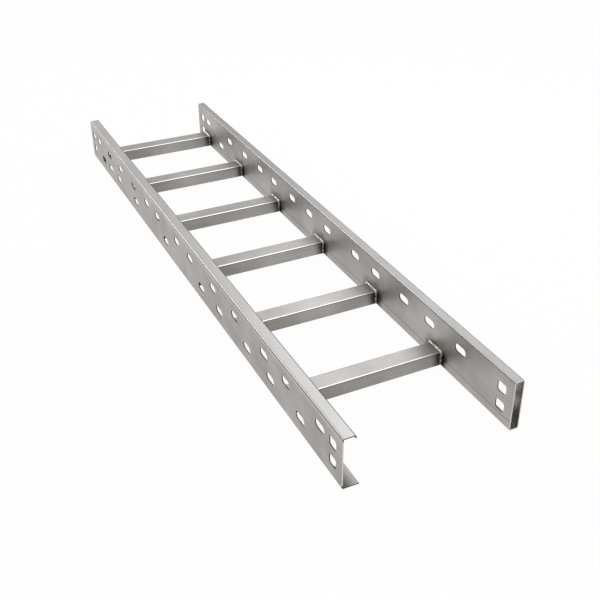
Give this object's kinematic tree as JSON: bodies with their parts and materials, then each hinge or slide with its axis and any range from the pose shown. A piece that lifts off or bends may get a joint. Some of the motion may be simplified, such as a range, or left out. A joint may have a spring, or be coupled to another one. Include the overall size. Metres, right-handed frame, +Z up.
{
  "type": "cable ladder section",
  "caption": "Straight section of metal cable ladder: a slotted channel rail and a slotted box rail joined by welded rectangular tube rungs.",
  "frame": {"origin": "centre of the bounding box at the level of the rail undersides", "axes": "+X across the ladder from the channel rail to the box rail, +Y along the rails to the far end, +Z up"},
  "size_m": [0.35, 1.555, 0.105],
  "materials": {
    "rail_steel": "brushed stainless sheet, warm mid grey, grain along the rail",
    "rung_steel": "brushed stainless tube, light grey, grain along the tube",
    "weld_metal": "pale rippled weld bead with dark heat tint beside it"
  },
  "bodies": {
    "root": {"left_rail": "rail_steel", "right_rail": "rail_steel", "rung_1": "rung_steel", "rung_2": "rung_steel", "rung_3": "rung_steel", "rung_4": "rung_steel", "rung_5": "rung_steel", "rung_6": "rung_steel", "weld_left_1": "weld_metal", "weld_left_2": "weld_metal", "weld_left_3": "weld_metal", "weld_left_4": "weld_metal", "weld_left_5": "weld_metal", "weld_left_6": "weld_metal", "weld_right_1": "weld_metal", "weld_right_2": "weld_metal", "weld_right_3": "weld_metal", "weld_right_4": "weld_metal", "weld_right_5": "weld_metal", "weld_right_6": "weld_metal"}
  },
  "joints": []
}
